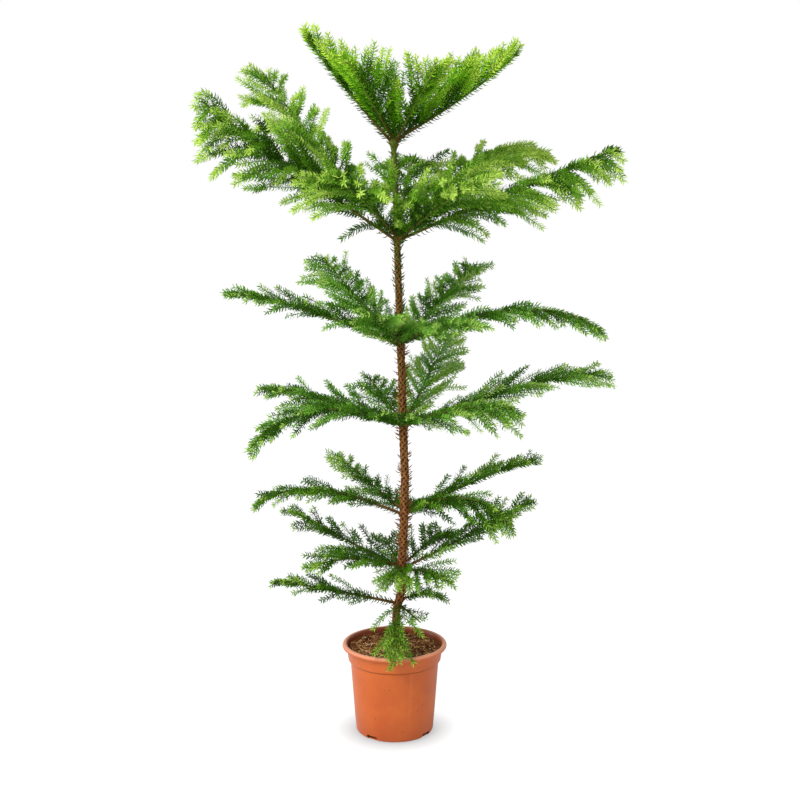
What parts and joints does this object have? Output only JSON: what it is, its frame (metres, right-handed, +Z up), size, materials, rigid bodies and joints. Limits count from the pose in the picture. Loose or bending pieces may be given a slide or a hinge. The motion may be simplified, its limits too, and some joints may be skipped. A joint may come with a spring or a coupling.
{
  "type": "potted norfolk island pine",
  "caption": "Young potted conifer: slim leaning trunk, open tiers of branches clothed in short needles, and a tapered round pot with a rolled lip.",
  "frame": {"origin": "middle of the pot's flat underside", "axes": "+Z up along the plant, +X to the right and -Y towards the viewer"},
  "size_m": [0.912, 0.6591, 1.5844],
  "materials": {
    "pot": "matte, terracotta coloured",
    "soil": "rough moist potting mix",
    "trunk": "rough bark with leaf scars",
    "boughs": "rough young bark",
    "needles_t1": "satin needles",
    "needles_t2": "satin needles",
    "needles_t3": "satin needles",
    "needles_t4": "satin needles",
    "needles_t5": "satin needles",
    "needles_t6": "satin needles",
    "needles_t7": "satin needles"
  },
  "bodies": {
    "root": {"pot": "pot", "soil": "soil", "trunk": "trunk", "bough_t1_left": "boughs", "bough_t1_right": "boughs", "bough_t1_right_upper": "boughs", "foliage_t1_left": "needles_t1", "foliage_t1_front_left": "needles_t1", "foliage_t1_front_right": "needles_t1", "foliage_t1_right": "needles_t1", "foliage_t1_right_upper": "needles_t1", "foliage_t1_back": "needles_t1", "bough_t2_left": "boughs", "bough_t2_left_back": "boughs", "bough_t2_back": "boughs", "bough_t2_right": "boughs", "foliage_t2_left": "needles_t2", "foliage_t2_left_back": "needles_t2", "foliage_t2_back": "needles_t2", "foliage_t2_back_right": "needles_t2", "foliage_t2_right": "needles_t2", "foliage_t2_front_left": "needles_t2", "foliage_t2_front_right": "needles_t2", "bough_t3_left": "boughs", "bough_t3_right": "boughs", "foliage_t3_left": "needles_t3", "foliage_t3_left_back": "needles_t3", "foliage_t3_back_right": "needles_t3", "foliage_t3_right": "needles_t3", "foliage_t3_front_left": "needles_t3", "foliage_t3_front_right": "needles_t3", "bough_t4_left": "boughs", "bough_t4_right": "boughs", "foliage_t4_left_back": "needles_t4", "foliage_t4_left": "needles_t4", "foliage_t4_back": "needles_t4", "foliage_t4_back_left": "needles_t4", "foliage_t4_right": "needles_t4", "foliage_t4_front_right": "needles_t4", "foliage_t4_front": "needles_t4", "bough_t5_left": "boughs", "bough_t5_right": "boughs", "foliage_t5_left": "needles_t5", "foliage_t5_left_back": "needles_t5", "foliage_t5_right": "needles_t5", "foliage_t5_front_right": "needles_t5", "foliage_t5_back": "needles_t5", "bough_t6_right": "boughs", "foliage_t6_left": "needles_t6", "foliage_t6_left_front": "needles_t6", "foliage_t6_right": "needles_t6", "foliage_t6_back_right": "needles_t6", "foliage_t6_front_right": "needles_t6", "foliage_t6_front": "needles_t6", "foliage_t6_back_left": "needles_t6", "bough_t7_left": "boughs", "foliage_t7_left": "needles_t7", "foliage_t7_right": "needles_t7", "foliage_t7_front_right": "needles_t7", "foliage_t7_front": "needles_t7"}
  },
  "joints": []
}
